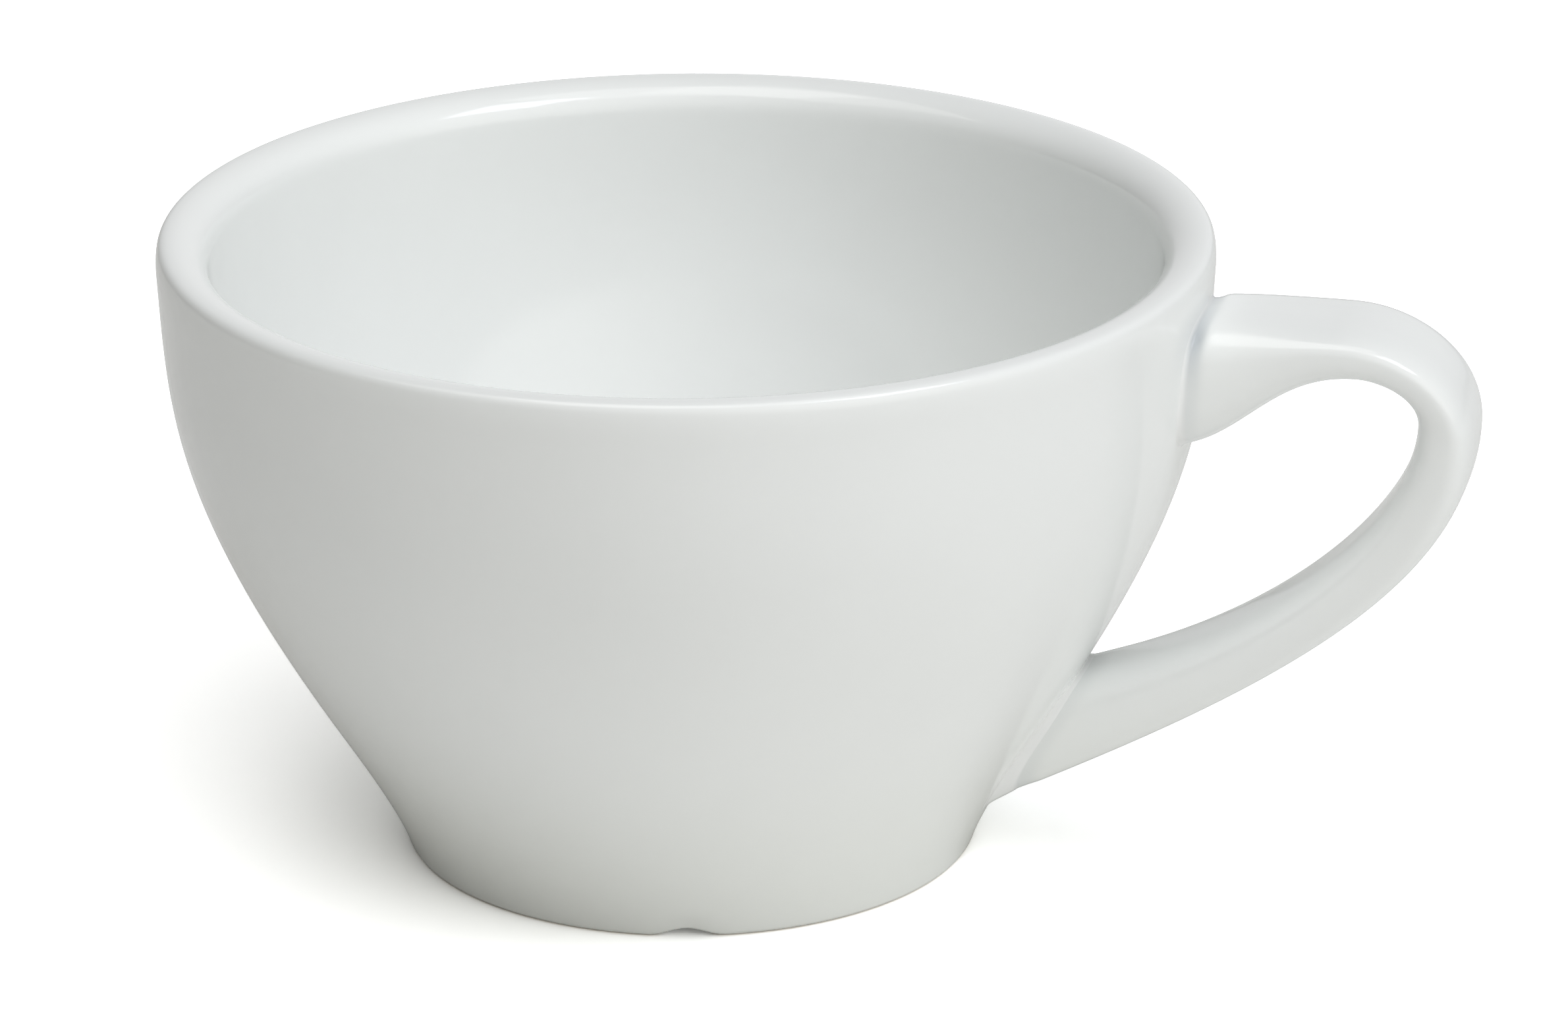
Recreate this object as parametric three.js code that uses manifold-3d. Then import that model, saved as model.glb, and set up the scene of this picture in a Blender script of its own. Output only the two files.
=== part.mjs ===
// White glazed porcelain coffee cup: a turned bowl on a foot ring with drain notches, and a
// cast strap handle that is stuck to the wall by a neck of slip at each of its two roots.
// Millimetres, +Z up. The foot stands on z = 0, the handle points along +X, and the origin is
// under the middle of the whole outline.

import * as THREE from "three";
import { mergeVertices } from "three/addons/utils/BufferGeometryUtils.js";
import Module from "manifold-3d";

// Bowl: outline sizes are radii and heights on the outside of the wall.
const RIM_RADIUS = 50;
const CUP_HEIGHT = 61;
const LIP_WIDTH = 4.9; // wall below the rounded lip
const LIP_CREST = 2.1; // how far in the top of the lip lies
const LIP_ROUND = 2.8; // height of the lip's outer rounding
const LIP_FALL = 4.3; // height of its longer rounding inside
const RIM_PULL = 13.5; // how far below the lip the wall starts to stand upright
const RIM_LEAN = 3.3; // degrees that the wall still leans out at the lip
const WAIST_RADIUS = 34.2; // where the foot's hollow curve turns into the bowl
const WAIST_HEIGHT = 12.8;
const NECK_HEIGHT = 4.2; // where the foot's lean and the waist's slope would meet
const BOWL_PULL = 29; // how long the bowl keeps the waist's slope
const WALL = 4.6; // wall at the waist
const INSIDE_RIM_PULL = 11; // the same two pulls for the inside of the wall
const INSIDE_BOWL_PULL = 26;
const FLOOR = 4.8; // floor over the hollow underside
const FLOOR_RADIUS = 15; // level middle of the floor
const FLOOR_CORNER = 5; // how far the wall's slope runs on into the floor's corner

// Foot ring
const FOOT_RADIUS = 27.8;
const FOOT_EDGE = 1.4; // rounding of its outer edge
const FOOT_LEAN = 17.5; // degrees off upright
const FOOT_FLAT = 2.2; // width of the bare ring that touches the table
const FOOT_SLOPE = 3.4; // width of the ring's inner slope
const FOOT_BEND = 1.1; // where that slope bends, in from the bare ring
const RECESS = 2.4; // hollow under the floor
const NOTCHES = 3;
const NOTCH_WIDTH = 6;
const NOTCH_HEIGHT = 0.7;
const NOTCH_TURN = -77; // degrees from the handle to the first notch

// Handle: its outer and inner edges seen from the side. Heights are above the table, and
// distances out are from the rim.
const UPPER_ROOT_DROP = 4.2; // top of the upper root below the rim
const UPPER_ROOT_DEPTH = 12.8; // height of the upper root
const LOWER_ROOT_HEIGHT = 4.7; // bottom of the lower root above the table
const LOWER_ROOT_DEPTH = 14.9; // height of the lower root
const CROWN_OUT = 12.7;
const CROWN_DROP = 4; // top of the crown below the rim
const CROWN_THICK = 4.7;
const CROWN_SHIFT = 2.3; // how far the finger hole's top lies outside the crown
const ELBOW_OUT = 25.7; // reach of the handle
const ELBOW_DROP = 14.4; // widest point below the rim
const ELBOW_THICK = 5.3;
const ELBOW_SHIFT = 1.5; // how far the finger hole's widest point lies above the elbow
const ROOT_WIDE = 15.4; // strap width at the upper root
const CROWN_WIDE = 14.2;
const ELBOW_WIDE = 12.2;
const TAIL_WIDE = 10.6; // strap width at the lower root
const STRAP_SQUARENESS = 3.2; // exponent of the section: 2 is an ellipse, more is squarer

// How long each edge keeps its direction at the roots, the crown and the elbow.
const OUTER_PULL = { root: 4.5, rise: 4.1, fall: 6.8, drop: 5.8, sweep: 17, tail: 23 };
const INNER_PULL = { root: 5.5, rise: 8.5, fall: 1.5, drop: 3.2, sweep: 9.2, tail: 20 };
const OUTER_ROOT_RISE = 7; // degrees above level
const INNER_ROOT_RISE = 3;
const OUTER_TAIL_RISE = 27.5;
const INNER_TAIL_RISE = 14;

// Slip necks
const SLIP = 0.8; // slip between wall and handle
const SLIP_INSET = 0.4; // how far the neck lies inside the handle's own section
const SEAM = 0.3; // gap that keeps touching pieces apart

// Fineness of the facets
const TURN_STEPS = 72;
const CURVE_STEPS = { floor: 7, edge: 3, flare: 6, bowl: 11, lip: 5 };
const STRAP_RINGS = 12; // for each of the strap's three stretches
const STRAP_SIDES = 20;
const NECK_RINGS = 8;
const NECK_SHARE = 0.6; // uncut share of the stretch that a slip neck is cut from
const CUTTER_SIDES = 72;

const ROOT_SINK = 2; // how far uncut roots run into the wall
const CUT_MARGIN = 2; // how far cutting shapes run past what they cut
const WELD = 1e-4;
const ROUND_PULL = 0.5523; // share of a quarter round's size that bends a cubic into it

const wasm = await Module();
wasm.setup();

const v2 = (x, y) => new THREE.Vector2(x, y);
const aim = (degrees) => {
  const a = THREE.MathUtils.degToRad(degrees);
  return v2(Math.cos(a), Math.sin(a));
};
const along = (start, direction, length) => start.clone().addScaledVector(direction, length);

// A closed geometry as a solid that can be joined and cut.
function solidOf(geometry) {
  const bare = geometry.clone();
  bare.deleteAttribute("normal");
  bare.deleteAttribute("uv");
  const merged = mergeVertices(bare, WELD);
  const triVerts = [];
  for (let i = 0; i < merged.index.count; i += 3) {
    const [a, b, c] = merged.index.array.slice(i, i + 3);
    if (a !== b && b !== c && c !== a) triVerts.push(a, b, c);
  }
  const vertProperties = merged.attributes.position.array;
  return new wasm.Manifold(
    new wasm.Mesh({ numProp: 3, vertProperties, triVerts: new Uint32Array(triVerts) }),
  );
}

function geometryOf(solid) {
  const { vertProperties, triVerts } = solid.getMesh();
  return new THREE.BufferGeometry()
    .setAttribute("position", new THREE.BufferAttribute(vertProperties, 3))
    .setIndex(new THREE.BufferAttribute(triVerts, 1));
}

// A profile of (radius, height) points turned about the Z axis.
const turned = (profile) => new THREE.LatheGeometry(profile, TURN_STEPS).rotateX(Math.PI / 2);

// The outside of the wall, from the foot's edge to the lip.
const lipStart = v2(RIM_RADIUS, CUP_HEIGHT - LIP_ROUND);
const waist = v2(WAIST_RADIUS, WAIST_HEIGHT);
const edgeCentre = v2(FOOT_RADIUS - FOOT_EDGE, FOOT_EDGE);
const footStart = along(edgeCentre, aim(-FOOT_LEAN), FOOT_EDGE);
const footSlope = aim(90 - FOOT_LEAN);
const neck = along(footStart, footSlope, (NECK_HEIGHT - footStart.y) / footSlope.y);
const waistSlope = waist.clone().sub(neck).normalize();
const flare = new THREE.QuadraticBezierCurve(footStart, neck, waist);
const rimSlope = aim(90 - RIM_LEAN);
const bowl = new THREE.CubicBezierCurve(
  waist,
  along(waist, waistSlope, BOWL_PULL),
  along(lipStart, rimSlope, -RIM_PULL),
  lipStart,
);

// Points of a curve moved square to it by a distance.
function offsetPoints(curve, steps, distance) {
  return Array.from({ length: steps + 1 }, (_, i) => {
    const tangent = curve.getTangent(i / steps);
    return along(curve.getPoint(i / steps), v2(tangent.y, -tangent.x), distance);
  });
}

const wallPoints = (distance) => [
  ...offsetPoints(flare, CURVE_STEPS.flare, distance).slice(0, -1),
  ...offsetPoints(bowl, CURVE_STEPS.bowl, distance),
];

// Everything within a distance outside the wall, as one solid that cuts what meets the wall.
function wallZone(distance) {
  const points = wallPoints(distance);
  const top = points.at(-1);
  const over = CUP_HEIGHT + CUT_MARGIN;
  return solidOf(
    turned([v2(0, points[0].y), ...points, v2(top.x, over), v2(0, over)]),
  );
}

// The outside radius of the wall at a height.
function wallRadius(height) {
  const points = wallPoints(0);
  const i = Math.max(1, points.findIndex((p) => p.y >= height));
  const [low, high] = [points[i - 1], points[i]];
  return THREE.MathUtils.mapLinear(height, low.y, high.y, low.x, high.x);
}

function cupBody() {
  const crest = v2(RIM_RADIUS - LIP_CREST, CUP_HEIGHT);
  const lipEnd = v2(RIM_RADIUS - LIP_WIDTH, CUP_HEIGHT - LIP_FALL);
  const lipOutside = new THREE.CubicBezierCurve(
    lipStart,
    along(lipStart, aim(90), LIP_ROUND * ROUND_PULL),
    along(crest, aim(0), LIP_CREST * ROUND_PULL),
    crest,
  );
  const lipInside = new THREE.CubicBezierCurve(
    crest,
    along(crest, aim(180), (LIP_WIDTH - LIP_CREST) * ROUND_PULL),
    along(lipEnd, rimSlope, LIP_FALL * ROUND_PULL),
    lipEnd,
  );
  const corner = along(waist, v2(-waistSlope.y, waistSlope.x), WALL);
  const inside = new THREE.CubicBezierCurve(
    lipEnd,
    along(lipEnd, rimSlope, -INSIDE_RIM_PULL),
    along(corner, waistSlope, INSIDE_BOWL_PULL),
    corner,
  );
  const floorTop = RECESS + FLOOR;
  const floor = new THREE.CubicBezierCurve(
    corner,
    along(corner, waistSlope, -FLOOR_CORNER),
    v2(FLOOR_RADIUS, floorTop),
    v2(0, floorTop),
  );
  const ringInside = FOOT_RADIUS - FOOT_EDGE - FOOT_FLAT;
  const underside = new THREE.QuadraticBezierCurve(
    v2(ringInside - FOOT_SLOPE, RECESS),
    v2(ringInside - FOOT_BEND, RECESS),
    v2(ringInside, 0),
  );
  const edge = new THREE.Path().absarc(
    edgeCentre.x,
    edgeCentre.y,
    FOOT_EDGE,
    -Math.PI / 2,
    THREE.MathUtils.degToRad(-FOOT_LEAN),
  );
  const bowlSolid = solidOf(
    turned([
      v2(0, RECESS),
      ...underside.getPoints(CURVE_STEPS.edge),
      ...edge.getPoints(CURVE_STEPS.edge).slice(0, -1),
      ...wallPoints(0).slice(0, -1),
      ...lipOutside.getPoints(CURVE_STEPS.lip).slice(0, -1),
      ...lipInside.getPoints(CURVE_STEPS.lip).slice(0, -1),
      ...inside.getPoints(CURVE_STEPS.bowl).slice(0, -1),
      ...floor.getPoints(CURVE_STEPS.floor),
    ]),
  );
  return geometryOf(drainNotches().reduce((cup, notch) => cup.subtract(notch), bowlSolid));
}

// Round-topped cutters that cross the foot ring and let rinsing water out of its hollow.
function drainNotches() {
  const cutter = (NOTCH_WIDTH ** 2 / 4 + NOTCH_HEIGHT ** 2) / (2 * NOTCH_HEIGHT);
  const from = FOOT_RADIUS - FOOT_EDGE - FOOT_FLAT - FOOT_SLOPE;
  const to = FOOT_RADIUS + CUT_MARGIN;
  return Array.from({ length: NOTCHES }, (_, i) => {
    const turn = NOTCH_TURN + (i * 360) / NOTCHES;
    return solidOf(
      new THREE.CylinderGeometry(cutter, cutter, to - from, CUTTER_SIDES)
        .rotateZ(Math.PI / 2)
        .translate((from + to) / 2, 0, NOTCH_HEIGHT - cutter)
        .rotateZ(THREE.MathUtils.degToRad(turn)),
    );
  });
}

// One edge of the handle, seen from the side: out of the wall, over the crown, round the elbow
// and down to the wall again.
function handleEdge({ rootHeight, rootRise, crown, elbow, tailHeight, tailRise, pull }) {
  const [level, upright] = [aim(0), aim(90)];
  const root = v2(wallRadius(rootHeight) - ROOT_SINK, rootHeight);
  const tail = v2(wallRadius(tailHeight) - ROOT_SINK, tailHeight);
  return [
    new THREE.CubicBezierCurve(
      root,
      along(root, aim(rootRise), pull.root + ROOT_SINK),
      along(crown, level, -pull.rise),
      crown,
    ),
    new THREE.CubicBezierCurve(
      crown,
      along(crown, level, pull.fall),
      along(elbow, upright, pull.drop),
      elbow,
    ),
    new THREE.CubicBezierCurve(
      elbow,
      along(elbow, upright, -pull.sweep),
      along(tail, aim(tailRise), pull.tail + ROOT_SINK),
      tail,
    ),
  ];
}

const crownTop = v2(RIM_RADIUS + CROWN_OUT, CUP_HEIGHT - CROWN_DROP);
const elbowEnd = v2(RIM_RADIUS + ELBOW_OUT, CUP_HEIGHT - ELBOW_DROP);
const upperRootTop = CUP_HEIGHT - UPPER_ROOT_DROP;
const outerEdge = handleEdge({
  rootHeight: upperRootTop,
  rootRise: OUTER_ROOT_RISE,
  crown: crownTop,
  elbow: elbowEnd,
  tailHeight: LOWER_ROOT_HEIGHT,
  tailRise: OUTER_TAIL_RISE,
  pull: OUTER_PULL,
});
const innerEdge = handleEdge({
  rootHeight: upperRootTop - UPPER_ROOT_DEPTH,
  rootRise: INNER_ROOT_RISE,
  crown: v2(crownTop.x + CROWN_SHIFT, crownTop.y - CROWN_THICK),
  elbow: v2(elbowEnd.x - ELBOW_THICK, elbowEnd.y + ELBOW_SHIFT),
  tailHeight: LOWER_ROOT_HEIGHT + LOWER_ROOT_DEPTH,
  tailRise: INNER_TAIL_RISE,
  pull: INNER_PULL,
});
const STRAP_WIDTHS = [ROOT_WIDE, CROWN_WIDE, ELBOW_WIDE, TAIL_WIDE];

// A ring of the strap at a share of one of its three stretches, drawn in all round by an inset.
function strapRing(stretch, share, inset) {
  const outer = outerEdge[stretch].getPoint(share);
  const inner = innerEdge[stretch].getPoint(share);
  const middle = outer.clone().add(inner).divideScalar(2);
  const across = outer.clone().sub(inner).normalize();
  const halfThick = outer.distanceTo(inner) / 2 - inset;
  const halfWide =
    THREE.MathUtils.lerp(STRAP_WIDTHS[stretch], STRAP_WIDTHS[stretch + 1], share) / 2 - inset;
  const soften = (x) => Math.sign(x) * Math.abs(x) ** (2 / STRAP_SQUARENESS);
  return Array.from({ length: STRAP_SIDES }, (_, i) => {
    const turn = (2 * Math.PI * i) / STRAP_SIDES;
    const p = along(middle, across, halfThick * soften(Math.cos(turn)));
    return new THREE.Vector3(p.x, halfWide * soften(Math.sin(turn)), p.y);
  });
}

// A closed skin over a row of rings, with a fan over each end.
function loft(rings) {
  const sides = rings[0].length;
  const mid = (ring) =>
    ring.reduce((sum, p) => sum.add(p), new THREE.Vector3()).divideScalar(sides);
  const points = [...rings.flat(), mid(rings[0]), mid(rings.at(-1))];
  const [first, last] = [points.length - 2, points.length - 1];
  const lastRing = (rings.length - 1) * sides;
  const index = [];
  for (let s = 0; s < sides; s++) {
    const next = (s + 1) % sides;
    for (let r = 0; r < lastRing; r += sides) {
      index.push(r + s, r + sides + s, r + next);
      index.push(r + next, r + sides + s, r + sides + next);
    }
    index.push(first, s, next);
    index.push(last, lastRing + next, lastRing + s);
  }
  return new THREE.BufferGeometry().setFromPoints(points).setIndex(index);
}

function handle() {
  const rings = [];
  for (const stretch of [0, 1, 2])
    for (let i = stretch ? 1 : 0; i <= STRAP_RINGS; i++)
      rings.push(strapRing(stretch, i / STRAP_RINGS, 0));
  return geometryOf(solidOf(loft(rings)).subtract(wallZone(SLIP + 2 * SEAM)));
}

// The slip that fills the space between wall and root, drawn in from the handle's section.
function slipNeck(stretch, from, to) {
  const rings = Array.from({ length: NECK_RINGS + 1 }, (_, i) =>
    strapRing(stretch, THREE.MathUtils.lerp(from, to, i / NECK_RINGS), SLIP_INSET),
  );
  return geometryOf(
    solidOf(loft(rings)).intersect(wallZone(SEAM + SLIP)).subtract(wallZone(SEAM)),
  );
}

const glaze = new THREE.MeshStandardMaterial({ color: "#f0f0ec", roughness: 0.12 });
const pooledGlaze = new THREE.MeshStandardMaterial({ color: "#e9edee", roughness: 0.1 });

const cup = new THREE.Group();
function addPiece(name, geometry, material) {
  const mesh = new THREE.Mesh(geometry, material);
  mesh.name = name;
  cup.add(mesh);
}
addPiece("cup_body", cupBody(), glaze);
addPiece("handle", handle(), glaze);
addPiece("upper_slip_joint", slipNeck(0, 0, NECK_SHARE), pooledGlaze);
addPiece("lower_slip_joint", slipNeck(2, 1 - NECK_SHARE, 1), pooledGlaze);

// The handle makes the outline longer on one side, so the axis of the bowl lies off the origin.
const outline = new THREE.Box3().setFromObject(cup);
cup.position.x = -(outline.min.x + outline.max.x) / 2;

export default cup;
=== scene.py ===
"""White glazed porcelain coffee cup: the fine surfaces and finishes over its solids.

Metres, +Z up, in the frame of the solids: the handle points along +X and the foot stands on z = 0.
"""

import math

import bpy
import numpy as np
from mathutils import Matrix, Vector


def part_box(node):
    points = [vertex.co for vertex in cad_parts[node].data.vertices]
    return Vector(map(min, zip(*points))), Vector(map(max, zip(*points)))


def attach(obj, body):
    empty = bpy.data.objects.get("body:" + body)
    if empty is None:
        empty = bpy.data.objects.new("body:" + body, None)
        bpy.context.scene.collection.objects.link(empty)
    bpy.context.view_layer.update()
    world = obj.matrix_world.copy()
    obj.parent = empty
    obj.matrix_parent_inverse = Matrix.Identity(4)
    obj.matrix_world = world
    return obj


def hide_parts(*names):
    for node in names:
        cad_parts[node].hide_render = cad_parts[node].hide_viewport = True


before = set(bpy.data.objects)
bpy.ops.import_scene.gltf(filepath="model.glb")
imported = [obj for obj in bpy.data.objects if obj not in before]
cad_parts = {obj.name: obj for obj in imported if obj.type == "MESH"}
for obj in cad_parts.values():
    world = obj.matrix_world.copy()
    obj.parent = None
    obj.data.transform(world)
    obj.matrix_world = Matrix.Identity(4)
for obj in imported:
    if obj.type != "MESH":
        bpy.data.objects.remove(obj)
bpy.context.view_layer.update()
AXIS_X = sum(corner.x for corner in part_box("cup_body")) / 2  # the bowl's own axis

# Sizes are in millimetres and angles in degrees, if nothing else is said.
MM = 0.001

# Bowl
RIM_RADIUS = 50
CUP_HEIGHT = 61
LIP_WIDTH = 4.9  # wall below the rounded lip
LIP_CREST = 1.5  # how far in the top of the lip lies
LIP_ROUND = 2.6  # height of the lip's outer rounding
LIP_FALL = 3.0  # height of its rounding inside
LIP_PULLS = (0.9, 0.8, 0.3, 0.8)  # outer corner, then inner: along the top and up the side
RIM_PULL = 13.5  # how far below the lip the wall starts to stand upright
RIM_LEAN = 3.3  # how much the wall still leans out at the lip
WAIST = (34.2, 12.8)  # radius and height where the foot's hollow curve turns into the bowl
NECK_HEIGHT = 4.2  # where the foot's lean and the waist's slope would meet
BOWL_PULL = 29  # how long the bowl keeps the waist's slope
WALL = 4.6  # wall at the waist
INSIDE_RIM_PULL = 11  # the same two pulls for the inside of the wall
INSIDE_BOWL_PULL = 26
FLOOR = 4.8  # floor over the hollow underside
FLOOR_RADIUS = 15  # level middle of the floor
FLOOR_CORNER = 5  # how far the wall's slope runs on into the floor's corner

# Foot ring
FOOT_RADIUS = 27.65
FOOT_EDGE = 0.8  # rounding of its outer edge
FOOT_LEAN = 17.5  # off upright
FOOT_FLAT = 2.65  # width of the ring that touches the table
FOOT_SLOPE = 3.4  # width of the ring's inner slope
FOOT_BEND = 1.1  # where that slope bends, in from the flat
RING_INSIDE = FOOT_RADIUS - FOOT_EDGE - FOOT_FLAT
RECESS = 2.4  # hollow under the floor
BARE_HEIGHT = 0.15  # the glaze is wiped off up to here
NOTCHES = 3
NOTCH_WIDTH = 7.2  # with the soft shoulders of its wave
NOTCH_HEIGHT = 0.75
NOTCH_FADE = 3.0  # height where the foot's wall no longer follows the wave
NOTCH_TURN = -77  # from the handle to the first notch

# Handle, from the side: distances out from the axis and heights above the table
CROWN = (62.7, 57.0)
CROWN_INSIDE = (65.0, 52.3)
ELBOW = (75.7, 46.6)
ELBOW_INSIDE = (70.4, 48.1)
OUTER_ROOTS = (56.8, 4.7)  # heights where the strap's edges meet the wall
INNER_ROOTS = (44.0, 19.6)
OUTER_RISES = (7, 27.5)  # above level at the two roots
INNER_RISES = (3, 14)
OUTER_PULLS = (4.5, 4.1, 6.8, 5.8, 17, 23)  # how long three curves keep their way, at each end
INNER_PULLS = (5.5, 8.5, 1.5, 3.2, 9.2, 20)
STRAP_WIDTHS = (15.4, 14.2, 12.2, 10.6)  # upper root, crown, elbow, lower root
STRAP_SQUARENESS = 3.2  # exponent of the section: 2 is an ellipse, more is squarer
ROOT_SINK = 2  # how far the edges run on into the wall

# Slip joints: the handle's ends draw in to a soft groove beside the wall, and the slip flares out
# of the groove on to the wall. Sizes in fives go round the strap: outer edge, corner, side, corner
# and inner edge. The shape of a flare is how hollow it is, the share of its spread that begins at
# the groove, and how thick it is where it turns down to the wall.
END_DRAW = 1.75  # length of the handle that draws in
UPPER_GAP = (0.3, 0.35, 0.6, 0.8, 0.85)  # from the wall to the middle of the groove
LOWER_GAP = (1.7, 1.5, 0.9, 0.6, 0.5)
UPPER_GROOVE = (0.16, 0.45, 0.1, 0.03, 0)  # depth
LOWER_GROOVE = (0.25, 0.15, 0.06, 0.05, 0.05)
UPPER_FLARE = (0.05, 0.1, 0.3, 0.25, 0.1)  # how far the slip spreads on the wall
LOWER_FLARE = (0.75, 0.7, 0.55, 0.3, 0.15)
UPPER_FLARE_SHAPE = (0.55, 0, 0.01)
LOWER_FLARE_SHAPE = (0.3, 0.45, 0.04)
FLARE_TURN = 1.5  # where the slip turns into the wall and where it ends, in spreads
FLARE_END = 2
FLARE_SINK = 0.05  # how deep the slip's hidden edges lie
OVERLAP = 0.5  # how far handle and slip run on under each other
FULL_POOL_AND_SHADE = 0.4  # depth of groove that takes the full groove tint: pooled glaze and painted shade

# How finely the surfaces are drawn
TURN_STEPS = 240  # round the bowl
FLARE_POINTS = 16  # along the curves of the bowl's section
WALL_POINTS = 48
FLOOR_POINTS = 30
LIP_POINTS = 18
EDGE_POINTS = 9
UNDERSIDE_POINTS = 10
LEVEL_PARTS = 4  # of the foot's flat, and of the middle of the underside
AXIS_GAP = 1  # radius of the path that the section is swept along
WELD = 0.001  # points closer than this become one
SIDES = 72  # round the strap
STRAP_ROWS = 150
JOINT_ROWS = 12
UNDER_ROWS = 3  # where handle and slip run on under each other
ROOT_HALVINGS = 30  # of the stretch of strap that is searched for the wall


def linear(srgb_hex):
    """An sRGB hex colour as the linear RGBA that sockets take."""
    parts = [int(srgb_hex[i : i + 2], 16) / 255 for i in (1, 3, 5)]
    return (*[c / 12.92 if c <= 0.04045 else ((c + 0.055) / 1.055) ** 2.4 for c in parts], 1)


def plug(tree, node, inputs):
    """Gives a node its inputs. Each is a value, or the output socket that is linked to it."""
    for key, value in inputs.items():
        if isinstance(value, bpy.types.NodeSocket):
            tree.links.new(value, node.inputs[key])
        else:
            node.inputs[key].default_value = value


def add(tree, kind, inputs=None, **settings):
    """Adds a node with its settings and inputs."""
    node = tree.nodes.new(kind)
    for name, value in settings.items():
        setattr(node, name, value)
    plug(tree, node, inputs or {})
    return node


def calculate(tree, operation, *values):
    """The result of a sum on numbers and sockets."""
    return add(tree, "ShaderNodeMath", dict(enumerate(values)), operation=operation).outputs[0]


def smoothstep(tree, value, start, end, first, last):
    """Goes softly from a first to a last number while a value goes from start to end."""
    limits = {"Value": value, 1: start, 2: end, 3: first, 4: last}
    node = add(tree, "ShaderNodeMapRange", limits, interpolation_type="SMOOTHSTEP")
    return node.outputs["Result"]


def blend(tree, share, first, second):
    """A colour between two, each of them a hex colour or a socket."""
    ends = [linear(end) if isinstance(end, str) else end for end in (first, second)]
    mix = add(tree, "ShaderNodeMix", {0: share, 6: ends[0], 7: ends[1]}, data_type="RGBA")
    return mix.outputs[2]


def clouds(tree, place, size, detail):
    """Soft lumps of about a size, as numbers from 0 to 1."""
    inputs = {"Vector": place, "Scale": 1 / (size * MM), "Detail": detail}
    return add(tree, "ShaderNodeTexNoise", inputs).outputs["Fac"]


def relief(tree, heights, strength, depth):
    """A skin that rises and falls with heights from 0 to 1."""
    inputs = {"Height": heights, "Strength": strength, "Distance": depth * MM}
    return add(tree, "ShaderNodeBump", inputs).outputs["Normal"]


def aim(degrees):
    """The direction at an angle from the first axis."""
    return np.array((math.cos(math.radians(degrees)), math.sin(math.radians(degrees))))


def bezier(points, shares):
    """Points at shares of a Bezier curve, or of one curve for each share."""
    shares = np.asarray(shares, float)[..., None, None]
    points = np.asarray(points, float)
    while points.shape[-2] > 1:
        points = points[..., :-1, :] + np.diff(points, axis=-2) * shares
    return np.broadcast_to(points, shares.shape[:-2] + points.shape[-2:])[..., 0, :]


def curve(points, count):
    """A count of points from the start to the end of a Bezier curve."""
    return bezier(points, np.linspace(0, 1, count))


# The outline of the wall, as radii and heights from the foot's edge up to the lip

edge_centre = np.array((FOOT_RADIUS - FOOT_EDGE, FOOT_EDGE))
foot_start = edge_centre + FOOT_EDGE * aim(-FOOT_LEAN)
foot_way = aim(90 - FOOT_LEAN)
foot_neck = foot_start + foot_way * (NECK_HEIGHT - foot_start[1]) / foot_way[1]
waist = np.array(WAIST)
waist_way = (waist - foot_neck) / np.linalg.norm(waist - foot_neck)
rim_way = aim(90 - RIM_LEAN)
lip_start = np.array((RIM_RADIUS, CUP_HEIGHT - LIP_ROUND))
flare = (foot_start, foot_neck, waist)
bowl = (waist, waist + BOWL_PULL * waist_way, lip_start - RIM_PULL * rim_way, lip_start)
outside = np.vstack([curve(flare, FLARE_POINTS)[:-1], curve(bowl, WALL_POINTS)])


def wall_radius(height):
    """How far from the axis the outside of the wall lies at a height."""
    return np.interp(height, outside[:, 1], outside[:, 0])


def wall_distance(points):
    """How far points (x and y from the axis, and height) lie outside the wall, square to it."""
    spots = np.stack([np.hypot(points[:, 0], points[:, 1]), points[:, 2]], axis=-1)[:, None]
    starts, steps = outside[:-1], np.diff(outside, axis=0)
    shares = ((spots - starts) * steps).sum(-1) / (steps**2).sum(-1)
    nearest = starts + np.clip(shares, 0, 1)[..., None] * steps
    gaps = np.linalg.norm(spots - nearest, axis=-1).min(axis=1)
    return np.where(spots[:, 0, 0] > wall_radius(spots[:, 0, 1]), gaps, -gaps)


def bowl_outline():
    """The section from the middle of the floor, over the lip, to the middle of the underside."""
    floor_top = RECESS + FLOOR
    corner = waist + WALL * np.array((-waist_way[1], waist_way[0]))
    floor = curve(
        ((0, floor_top), (FLOOR_RADIUS, floor_top), corner - FLOOR_CORNER * waist_way, corner),
        FLOOR_POINTS,
    )
    lip_end = np.array((RIM_RADIUS - LIP_WIDTH, CUP_HEIGHT - LIP_FALL))
    crest = np.array((RIM_RADIUS - LIP_CREST, CUP_HEIGHT))
    inside = curve(
        (
            corner,
            corner + INSIDE_BOWL_PULL * waist_way,
            lip_end - INSIDE_RIM_PULL * rim_way,
            lip_end,
        ),
        WALL_POINTS,
    )
    outer_top, outer_side, inner_top, inner_side = LIP_PULLS
    lip_inside = curve(
        (
            lip_end,
            lip_end + LIP_FALL * inner_side * rim_way,
            crest - (LIP_WIDTH - LIP_CREST) * inner_top * aim(0),
            crest,
        ),
        LIP_POINTS,
    )
    lip_outside = curve(
        (
            crest,
            crest + LIP_CREST * outer_top * aim(0),
            lip_start + LIP_ROUND * outer_side * aim(90),
            lip_start,
        ),
        LIP_POINTS,
    )
    edge_turns = np.linspace(-FOOT_LEAN, -90, EDGE_POINTS)
    edge = [edge_centre + FOOT_EDGE * aim(turn) for turn in edge_turns]
    level_shares = np.linspace(1, 0, LEVEL_PARTS + 1)[1:]
    flat = [(RING_INSIDE + FOOT_FLAT * share, 0) for share in level_shares[:-1]]
    slope_end = RING_INSIDE - FOOT_SLOPE
    slope = ((RING_INSIDE, 0), (RING_INSIDE - FOOT_BEND, RECESS), (slope_end, RECESS))
    base = [(slope_end * share, RECESS) for share in level_shares]
    return np.vstack(
        [floor[:-1], inside[:-1], lip_inside[:-1], lip_outside[:-1], outside[:0:-1]]
        + [edge, flat, curve(slope, UNDERSIDE_POINTS), base]
    )


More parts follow.
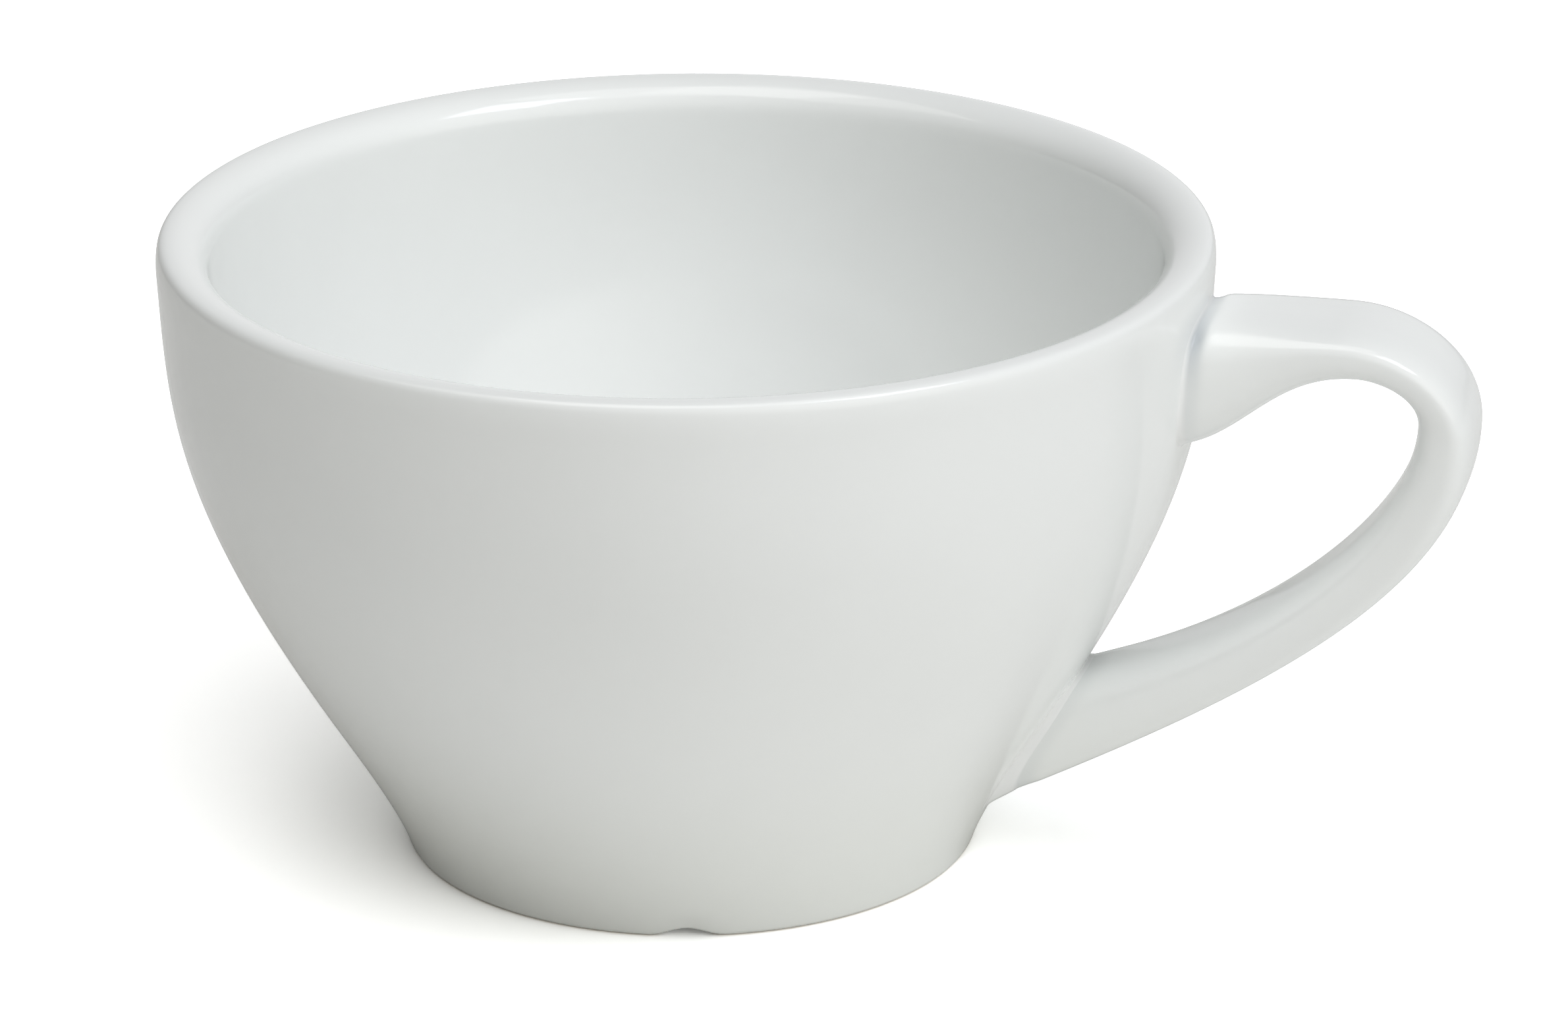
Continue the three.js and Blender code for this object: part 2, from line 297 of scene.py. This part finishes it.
# Finishes: colours in pairs are the ends of a cloudy blend

REFRACTION = 1.5  # of glaze and porcelain
CLOUD_SPAN = (0.3, 0.7)  # most of the clouds lie between these
GLAZE_WHITES = ("#f3f5f4", "#f7f9f8")
GLAZE_ROUGHNESS = (0.08, 0.12)
# thicker, greener glaze low on the bowl, which also paints shade on the lower wall
GATHERED_GLAZE_AND_SHADE = "#f1f3eb"
GATHERED_GLAZE_AND_SHADE_SHARE = 0.3
GATHERED_GLAZE_AND_SHADE_HEIGHTS = (3, 26)  # where the thicker glaze and painted shade are strongest, and where they end
# grooves of the joints: darker and bluish, partly pooled glaze, partly painted shade and painted
# bluish reflection
GROOVE_GLAZE_AND_SHADE = "#c7cccf"
SLIP_WHITE = "#f5f6f5"
POOLED_GLAZE_AND_SHADE_TINTS = ("#c5cacd", "#ccd0d3")
POOL_ROUGHNESS = 0.05
BISCUIT_TINTS = ("#d6cfc0", "#ece7dc")
BISCUIT_ROUGHNESS = 0.75


def new_material(name):
    """A material with its node tree, shader and the place of each spot on the piece."""
    material = bpy.data.materials.new(name)
    material.use_nodes = True
    tree = material.node_tree
    place = add(tree, "ShaderNodeTexCoord").outputs["Object"]
    return material, tree, tree.nodes["Principled BSDF"], place


def pooled_and_shaded_share(tree):
    """How deep in a joint's groove a spot lies, from 0 to 1: the share of the groove tint, partly
    pooled glaze and partly painted shade.
    """
    drawn_in = add(tree, "ShaderNodeAttribute", attribute_name="drawn_in").outputs["Fac"]
    return add(tree, "ShaderNodeMapRange", {"Value": drawn_in, 2: FULL_POOL_AND_SHADE}).outputs["Result"]


def gloss_glaze():
    """Clear feldspar glaze, dipped and fired on white porcelain. To the eye: a faintly cool white
    under a mirror-like skin with the long soft ripple of poured glass. The glaze ran down before it
    set, so it lies thicker, and a little greener, in the hollow above the foot; the same tint,
    darker and greener towards the bottom, is also painted shade on the lower wall. The drawn-in
    ends of the handle take the grooves' tint of pooled glaze and painted shade."""
    material, tree, shader, place = new_material("gloss_glaze_on_porcelain")
    cloud = clouds(tree, place, size=18, detail=3)
    ripple = clouds(tree, place, size=11, detail=1)
    height = add(tree, "ShaderNodeSeparateXYZ", {0: place}).outputs["Z"]
    low, high = [level * MM for level in GATHERED_GLAZE_AND_SHADE_HEIGHTS]
    # darker and greener towards the bottom: thicker glaze, and painted shade on the lower wall
    gathered_glaze_and_shade = smoothstep(tree, height, low, high, GATHERED_GLAZE_AND_SHADE_SHARE, 0.0)
    shade = blend(tree, gathered_glaze_and_shade, blend(tree, cloud, *GLAZE_WHITES), GATHERED_GLAZE_AND_SHADE)
    sheen = add(
        tree,
        "ShaderNodeMapRange",
        dict(enumerate((cloud, *CLOUD_SPAN, *GLAZE_ROUGHNESS))),
    )
    finish = {
        # the drawn-in ends of the handle take the groove tint: pooled glaze and painted shade
        "Base Color": blend(tree, pooled_and_shaded_share(tree), shade, GROOVE_GLAZE_AND_SHADE),
        "Roughness": sheen.outputs["Result"],
        "Normal": relief(tree, ripple, strength=0.25, depth=0.06),
        "IOR": REFRACTION,
    }
    plug(tree, shader, finish)
    return material


def pooled_and_shaded_glaze():
    """The same glaze, drawn into the narrow necks of slip. To the eye: bluish and darker than the
    wall in the grooves, partly as thicker glaze and partly as painted shade and painted bluish
    reflection; uneven over a few millimetres, and wet-looking."""
    material, tree, shader, place = new_material("pooled_glaze_and_painted_shade_on_slip")
    cloud = clouds(tree, place, size=3, detail=2)
    # the groove tint: pooled glaze with painted shade and painted bluish reflection
    pool_and_shade_tint = blend(tree, cloud, *POOLED_GLAZE_AND_SHADE_TINTS)
    finish = {
        "Base Color": blend(tree, pooled_and_shaded_share(tree), SLIP_WHITE, pool_and_shade_tint),
        "Roughness": POOL_ROUGHNESS,
        "Normal": relief(tree, cloud, strength=0.3, depth=0.08),
        "IOR": REFRACTION,
    }
    plug(tree, shader, finish)
    return material


def bare_biscuit():
    """Unglazed porcelain where the foot was wiped before firing. To the eye: matt, a little warmer
    than the glaze, with the grit of the clay. Real grit is 0.1 mm, drawn at 0.4 mm so that it
    shows."""
    material, tree, shader, place = new_material("bare_porcelain_biscuit")
    grit = clouds(tree, place, size=0.4, detail=2)
    finish = {
        "Base Color": blend(tree, grit, *BISCUIT_TINTS),
        "Roughness": BISCUIT_ROUGHNESS,
        "Normal": relief(tree, grit, strength=0.5, depth=0.05),
        "IOR": REFRACTION,
    }
    plug(tree, shader, finish)
    return material


glaze = gloss_glaze()
biscuit = bare_biscuit()
slip_glaze = pooled_and_shaded_glaze()


# Pieces


def show(name, mesh):
    """Puts a mesh in the scene."""
    piece = bpy.data.objects.new(name, mesh)
    bpy.context.scene.collection.objects.link(piece)
    return piece


def dress(piece, node):
    """The piece stands in for a solid, which it hides, and moves with the cup."""
    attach(piece, "root")
    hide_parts(node)


def turned_bowl():
    """A node tree that turns a section about the Z axis and lifts its foot into drain notches."""
    tree = bpy.data.node_groups.new("turned_bowl", "GeometryNodeTree")
    sizes = {
        "Section": "NodeSocketGeometry",
        "Turn Steps": "NodeSocketInt",
        "Axis Gap": "NodeSocketFloat",
        "Axis X": "NodeSocketFloat",
        "Weld": "NodeSocketFloat",
        "Notches": "NodeSocketInt",
        "Notch Turn": "NodeSocketFloat",
        "Notch Width": "NodeSocketFloat",
        "Notch Height": "NodeSocketFloat",
        "Notch Fade": "NodeSocketFloat",
        "Ring Inside": "NodeSocketFloat",
        "Ring Slope": "NodeSocketFloat",
        "Bare Height": "NodeSocketFloat",
        "Glaze": "NodeSocketMaterial",
        "Biscuit": "NodeSocketMaterial",
    }
    for name, kind in sizes.items():
        tree.interface.new_socket(name, in_out="INPUT", socket_type=kind)
    tree.interface.new_socket("Bowl", in_out="OUTPUT", socket_type="NodeSocketGeometry")
    given = add(tree, "NodeGroupInput").outputs

    section = add(tree, "GeometryNodeMeshToCurve", {"Mesh": given["Section"]})
    round_path = add(
        tree,
        "GeometryNodeCurvePrimitiveCircle",
        {"Resolution": given["Turn Steps"], "Radius": given["Axis Gap"]},
    )
    swept = add(
        tree,
        "GeometryNodeCurveToMesh",
        {"Curve": round_path.outputs["Curve"], "Profile Curve": section.outputs["Curve"]},
    )
    closed = add(
        tree,
        "GeometryNodeMergeByDistance",
        {"Geometry": swept.outputs["Mesh"], "Distance": given["Weld"]},
    )

    place = add(tree, "GeometryNodeInputPosition").outputs["Position"]
    part = add(tree, "ShaderNodeSeparateXYZ", {0: place}).outputs
    level = add(tree, "ShaderNodeVectorMath", {0: place, 1: (1, 1, 0)}, operation="MULTIPLY")
    span = add(tree, "ShaderNodeVectorMath", {0: level.outputs["Vector"]}, operation="LENGTH")
    radius = span.outputs["Value"]
    turn = calculate(tree, "ARCTAN2", part["Y"], part["X"])
    ahead = calculate(tree, "SUBTRACT", turn, given["Notch Turn"])
    reach = calculate(tree, "DIVIDE", math.pi, given["Notches"])
    back = calculate(tree, "MULTIPLY", reach, -1.0)
    near = calculate(tree, "WRAP", ahead, reach, back)
    aside = calculate(tree, "ABSOLUTE", calculate(tree, "MULTIPLY", near, radius))
    half = calculate(tree, "DIVIDE", given["Notch Width"], 2.0)
    wave = smoothstep(tree, aside, 0.0, half, given["Notch Height"], 0.0)
    fade = smoothstep(tree, part["Z"], 0.0, given["Notch Fade"], 1.0, 0.0)
    ring_start = calculate(tree, "SUBTRACT", given["Ring Inside"], given["Ring Slope"])
    ring = smoothstep(tree, radius, ring_start, given["Ring Inside"], 0.0, 1.0)
    lift = calculate(tree, "MULTIPLY", calculate(tree, "MULTIPLY", wave, fade), ring)
    shift = add(tree, "ShaderNodeCombineXYZ", {"X": given["Axis X"], "Z": lift})

    moved = add(
        tree,
        "GeometryNodeSetPosition",
        {"Geometry": closed.outputs["Geometry"], "Offset": shift.outputs[0]},
    )
    smooth = add(tree, "GeometryNodeSetShadeSmooth", {"Geometry": moved.outputs["Geometry"]})
    real = add(tree, "GeometryNodeRealizeInstances", {"Geometry": smooth.outputs["Geometry"]})
    glazed = add(
        tree,
        "GeometryNodeSetMaterial",
        {"Geometry": real.outputs["Geometry"], "Material": given["Glaze"]},
    )
    bare = add(
        tree,
        "GeometryNodeSetMaterial",
        {
            "Geometry": glazed.outputs["Geometry"],
            "Selection": calculate(tree, "LESS_THAN", part["Z"], given["Bare Height"]),
            "Material": given["Biscuit"],
        },
    )
    add(tree, "NodeGroupOutput", {"Bowl": bare.outputs["Geometry"]})
    return tree


def cup_body():
    """The bowl, its lip, foot ring and underside as one turned skin."""
    axis_gap = AXIS_GAP * MM
    outline = bowl_outline() * MM
    section = bpy.data.meshes.new("section")
    section.from_pydata(
        [(radius - axis_gap, -height, 0) for radius, height in outline],
        [(i, i + 1) for i in range(len(outline) - 1)],
        [],
    )
    piece = show("porcelain_bowl", section)
    modifier = piece.modifiers.new("turned_bowl", "NODES")
    modifier.node_group = turned_bowl()
    values = {
        "Turn Steps": TURN_STEPS,
        "Axis Gap": axis_gap,
        "Axis X": AXIS_X,
        "Weld": WELD * MM,
        "Notches": NOTCHES,
        "Notch Turn": math.radians(NOTCH_TURN),
        "Notch Width": NOTCH_WIDTH * MM,
        "Notch Height": NOTCH_HEIGHT * MM,
        "Notch Fade": NOTCH_FADE * MM,
        "Ring Inside": RING_INSIDE * MM,
        "Ring Slope": FOOT_SLOPE * MM,
        "Bare Height": BARE_HEIGHT * MM,
        "Glaze": glaze,
        "Biscuit": biscuit,
    }
    for socket in modifier.node_group.interface.items_tree:
        if socket.name in values:
            modifier[socket.identifier] = values[socket.name]
    evaluated = piece.evaluated_get(bpy.context.evaluated_depsgraph_get())
    piece.data = bpy.data.meshes.new_from_object(evaluated)
    piece.modifiers.clear()
    dress(piece, "cup_body")


# Ways along the strap
ROOT_WAY, CROWN_WAY, ELBOW_WAY, TAIL_WAY = range(4)


def handle_edge(roots, rises, crown, elbow, pulls):
    """One edge of the strap from the side: three curves from root to crown, elbow and tail."""
    root, tail = [np.array((wall_radius(height) - ROOT_SINK, height)) for height in roots]
    crown, elbow, level, upright = np.array(crown), np.array(elbow), aim(0), aim(90)
    out, over, fall, drop, sweep, in_ = pulls
    return np.array(
        [
            (root, root + aim(rises[0]) * (out + ROOT_SINK), crown - level * over, crown),
            (crown, crown + level * fall, elbow + upright * drop, elbow),
            (elbow, elbow - upright * sweep, tail + aim(rises[1]) * (in_ + ROOT_SINK), tail),
        ]
    )


outer_edge = handle_edge(OUTER_ROOTS, OUTER_RISES, CROWN, ELBOW, OUTER_PULLS)
inner_edge = handle_edge(INNER_ROOTS, INNER_RISES, CROWN_INSIDE, ELBOW_INSIDE, INNER_PULLS)
strap_width = np.polyfit(range(len(STRAP_WIDTHS)), STRAP_WIDTHS, len(STRAP_WIDTHS) - 1)
turns = np.linspace(0, 2 * math.pi, SIDES, endpoint=False)


def strap(way, inset):
    """A ring of the strap, drawn in by an inset, with one point for each turn."""
    way = np.broadcast_to(way, turns.shape)
    stretch = np.clip(way.astype(int), ROOT_WAY, ELBOW_WAY)
    outer, inner = [bezier(edge[stretch], way - stretch) for edge in (outer_edge, inner_edge)]
    across = outer - inner
    thick = np.linalg.norm(across, axis=-1)
    wide = np.polyval(strap_width, way)
    soft_cos, soft_sin = [
        np.sign(x) * np.abs(x) ** (2 / STRAP_SQUARENESS) for x in (np.cos(turns), np.sin(turns))
    ]
    reach = (thick / 2 - inset) * soft_cos / thick
    spots = (outer + inner) / 2 + across * reach[:, None]
    return np.stack([spots[:, 0], (wide / 2 - inset) * soft_sin, spots[:, 1]], axis=-1)


def root_ring(upper, inset, distance):
    """The ways where the strap, drawn in by an inset, comes within a distance of the wall."""
    near, far = (ROOT_WAY, CROWN_WAY) if upper else (TAIL_WAY, ELBOW_WAY)
    near, far = np.full(SIDES, near, float), np.full(SIDES, far, float)
    for _ in range(ROOT_HALVINGS):
        way = (near + far) / 2
        clear = wall_distance(strap(way, inset)) > distance
        near, far = np.where(clear, near, way), np.where(clear, way, far)
    return near


def around(sizes):
    """Sizes spread round the strap, the same on its two sides."""
    return np.interp(math.pi - abs(math.pi - turns), np.linspace(0, math.pi, len(sizes)), sizes)


def joint_rings(upper, points, rows):
    """Rings along a curve of insets from the strap and distances from the wall. Each ring comes
    with its inset."""
    curves = np.stack(
        [np.stack(np.broadcast_arrays(*point, turns)[:2], -1) for point in points], 1
    )
    rings = []
    for share in np.linspace(0, 1, rows):
        inset, distance = bezier(curves, np.full(SIDES, share)).T
        rings.append((strap(root_ring(upper, inset, distance), inset), inset))
    return rings


def skin(name, rings, material):
    """A closed smooth skin over rings of points from the axis, with a fan on each end. It keeps how
    far each ring is drawn in, for the groove tint of pooled glaze and painted shade there."""
    spots, insets = zip(*rings)
    points = np.vstack([*spots, spots[0].mean(0), spots[-1].mean(0)]) * MM + (AXIS_X, 0, 0)
    last = (len(rings) - 1) * SIDES
    faces = []
    for side in range(SIDES):
        after = (side + 1) % SIDES
        faces += [
            (row + side, row + SIDES + side, row + SIDES + after, row + after)
            for row in range(0, last, SIDES)
        ]
        faces += [(len(points) - 2, side, after), (len(points) - 1, last + after, last + side)]
    mesh = bpy.data.meshes.new(name)
    mesh.from_pydata(points.tolist(), [], faces)
    mesh.shade_smooth()
    mesh.materials.append(material)
    drawn_in = mesh.attributes.new("drawn_in", "FLOAT", "POINT")
    drawn_in.data.foreach_set("value", np.hstack([*insets, 0, 0]))
    return show(name, mesh)


def drawn_end(upper, gap, depth):
    """The end of the handle, from where it runs under the slip to where it has its full section."""
    half_way, full = gap + END_DRAW / 2, gap + END_DRAW
    under = ((depth, gap - OVERLAP), (depth, gap))
    ease = ((depth, gap), (depth, half_way), (0, half_way), (0, full))
    return joint_rings(upper, under, UNDER_ROWS)[:-1] + joint_rings(upper, ease, JOINT_ROWS)


def handle():
    """The strap from root to root, with its two drawn ends."""
    upper_gap, lower_gap = around(UPPER_GAP), around(LOWER_GAP)
    upper_end = drawn_end(True, upper_gap, around(UPPER_GROOVE))
    lower_end = drawn_end(False, lower_gap, around(LOWER_GROOVE))
    start = root_ring(True, 0, upper_gap + END_DRAW)
    end = root_ring(False, 0, lower_gap + END_DRAW)
    middle = [
        (strap(start + (end - start) * share, 0), np.zeros(SIDES))
        for share in np.linspace(0, 1, STRAP_ROWS)[1:-1]
    ]
    piece = skin("strap_handle", upper_end + middle + lower_end[::-1], glaze)
    dress(piece, "handle")


def slip_joint(name, node, upper, gap, depth, spread, shape):
    """A neck of slip, from where it runs under the handle, up out of the groove and into the
    wall."""
    gap, depth, edge = around(gap), around(depth), -around(spread)
    pull, start, thick = shape
    under = ((depth + FLARE_SINK, gap + OVERLAP), (depth, gap))
    rise = (
        (depth, gap),
        (depth + (edge - depth) * start, gap * (1 - pull)),
        (edge + (depth - edge) * (1 - pull), thick),
        (edge, thick),
    )
    fall = (
        (edge, thick),
        (edge * FLARE_TURN, thick),
        (edge * FLARE_TURN, -FLARE_SINK),
        (edge * FLARE_END, -FLARE_SINK),
    )
    rings = joint_rings(upper, under, UNDER_ROWS)[:-1]
    rings += joint_rings(upper, rise, JOINT_ROWS)[:-1]
    rings += joint_rings(upper, fall, JOINT_ROWS)
    piece = skin(name, rings[::-1] if upper else rings, slip_glaze)
    dress(piece, node)


cup_body()
handle()
upper_sizes = (UPPER_GAP, UPPER_GROOVE, UPPER_FLARE, UPPER_FLARE_SHAPE)
lower_sizes = (LOWER_GAP, LOWER_GROOVE, LOWER_FLARE, LOWER_FLARE_SHAPE)
slip_joint("upper_slip_neck", "upper_slip_joint", True, *upper_sizes)
slip_joint("lower_slip_neck", "lower_slip_joint", False, *lower_sizes)


# Table, light and camera

TABLE_REACH = 2  # metres
TABLE_DROP = 0.05  # keeps the sheet clear of the foot
TABLE_WHITES = ("#f4f4f5", "#f7f7f8")
TABLE_GAIN = 2.25  # how much brighter the camera sees the sheet
TABLE_GLOW = (0.99, 0.985, 0.955)  # the sheet's warm light on the cup
GLOW_FOCUS = 10  # half as bright at 30 degrees from its middle
LAMP_REACH = 1.0  # metres
VIEW_TURN = 14.2  # from the handle's square side to the camera
CAMERA_REACH = 673.7
CAMERA_HEIGHT = 285.0
CAMERA_YAW, CAMERA_PITCH, CAMERA_ROLL = 0.01353, 0.35841, -0.00465  # radians
LENS = 172.61
SENSOR_WIDTH = 36


def pale_table():
    """A matt white sheet. The camera sees it over-exposed to blank white away from the cup's
    shadow, and the cup is lit by its true, slightly warm white."""
    material, tree, shader, place = new_material("matt_white_sheet")
    white = blend(tree, clouds(tree, place, size=60, detail=2), *TABLE_WHITES)
    seen = add(tree, "ShaderNodeLightPath").outputs["Is Camera Ray"]
    gain = add(
        tree, "ShaderNodeMix", {0: seen, 4: TABLE_GLOW, 5: [TABLE_GAIN] * 3}, data_type="VECTOR"
    )
    bright = add(
        tree, "ShaderNodeVectorMath", {0: white, 1: gain.outputs[1]}, operation="MULTIPLY"
    )
    matt = add(tree, "ShaderNodeBsdfDiffuse", {"Color": bright.outputs[0]})
    tree.nodes.remove(shader)
    plug(tree, tree.nodes["Material Output"], {"Surface": matt.outputs[0]})
    mesh = bpy.data.meshes.new("table")
    corners = np.array([(-1, -1, 0), (1, -1, 0), (1, 1, 0), (-1, 1, 0)]) * TABLE_REACH
    mesh.from_pydata((corners - (0, 0, TABLE_DROP * MM)).tolist(), [], [(0, 1, 2, 3)])
    mesh.materials.append(material)
    show("table", mesh)


def toward(turn, rise):
    """A direction from the bowl: turned to the right from the camera's side, and risen."""
    flat = aim(turn + VIEW_TURN - 90) * math.cos(math.radians(rise))
    return Vector((flat[0], flat[1], math.sin(math.radians(rise))))


def softbox(name, turn, rise, size, power, colour):
    """A square light aimed at the bowl, with its size in metres and its power in watts."""
    lamp = bpy.data.lights.new(name, "AREA")
    lamp.size, lamp.energy, lamp.color = size, power, linear(colour)[:3]
    box = bpy.data.objects.new(name, lamp)
    bpy.context.scene.collection.objects.link(box)
    box.location = Vector((AXIS_X, 0, 0)) + toward(turn, rise) * LAMP_REACH
    box.rotation_euler = (-toward(turn, rise)).to_track_quat("-Z", "Y").to_euler()


def light_tent(glows):
    """White cloth all round, that glows softly about some directions. Each glow has a turn, a
    rise, a strength and a colour."""
    world = bpy.data.worlds.new("light_tent")
    world.use_nodes = True
    tree = world.node_tree
    way = add(tree, "ShaderNodeTexCoord").outputs["Generated"]
    total = None
    for turn, rise, strength, colour in glows:
        facing = add(
            tree, "ShaderNodeVectorMath", {0: way, 1: toward(turn, rise)}, operation="DOT_PRODUCT"
        )
        share = calculate(tree, "MULTIPLY_ADD", facing.outputs["Value"], 0.5, 0.5)
        spread = calculate(tree, "POWER", share, GLOW_FOCUS)
        glow = add(
            tree,
            "ShaderNodeVectorMath",
            {0: [strength * c for c in linear(colour)[:3]], "Scale": spread},
            operation="SCALE",
        )
        if total:
            both = {0: total, 1: glow.outputs[0]}
            glow = add(tree, "ShaderNodeVectorMath", both, operation="ADD")
        total = glow.outputs[0]
    plug(tree, tree.nodes["Background"], {"Color": total})
    bpy.context.scene.world = world


def camera():
    """The camera that took the photo, as fitted to the outlines of rim, foot and bowl."""
    data = bpy.data.cameras.new("camera")
    data.lens, data.sensor_width = LENS, SENSOR_WIDTH
    view = bpy.data.objects.new("camera", data)
    bpy.context.scene.collection.objects.link(view)
    flat = Vector((math.sin(CAMERA_YAW), math.cos(CAMERA_YAW), 0)) * math.cos(CAMERA_PITCH)
    ahead = flat - Vector((0, 0, math.sin(CAMERA_PITCH)))
    right = Vector((math.cos(CAMERA_YAW), -math.sin(CAMERA_YAW), 0))
    up = right.cross(ahead)
    rolled = Matrix.Rotation(CAMERA_ROLL, 4, "Z")
    looking = Matrix((right, up, -ahead)).transposed().to_4x4() @ rolled
    standing = Matrix.Translation((0, -CAMERA_REACH * MM, CAMERA_HEIGHT * MM))
    turned = Matrix.Rotation(math.radians(VIEW_TURN), 4, "Z")
    view.matrix_world = Matrix.Translation((AXIS_X, 0, 0)) @ turned @ standing @ looking
    bpy.context.scene.camera = view


pale_table()
camera()
light_tent(
    (
        (45, 5, 1.08, "#fffff8"),
        (135, 5, 0.24, "#ffffff"),
        (180, 5, 0.74, "#ffffff"),
        (0, 35, 0.38, "#fffdf8"),
        (45, 35, 0.58, "#fbfcff"),
    )
)
softbox("key", turn=60, rise=57, size=0.36, power=2.0, colour="#f2f5ff")
softbox("high_left", turn=-70, rise=72, size=0.7, power=1.75, colour="#fffffa")
softbox("overhead", turn=0, rise=80, size=0.7, power=2.0, colour="#ffffff")
bpy.context.scene.view_settings.view_transform = "Standard"
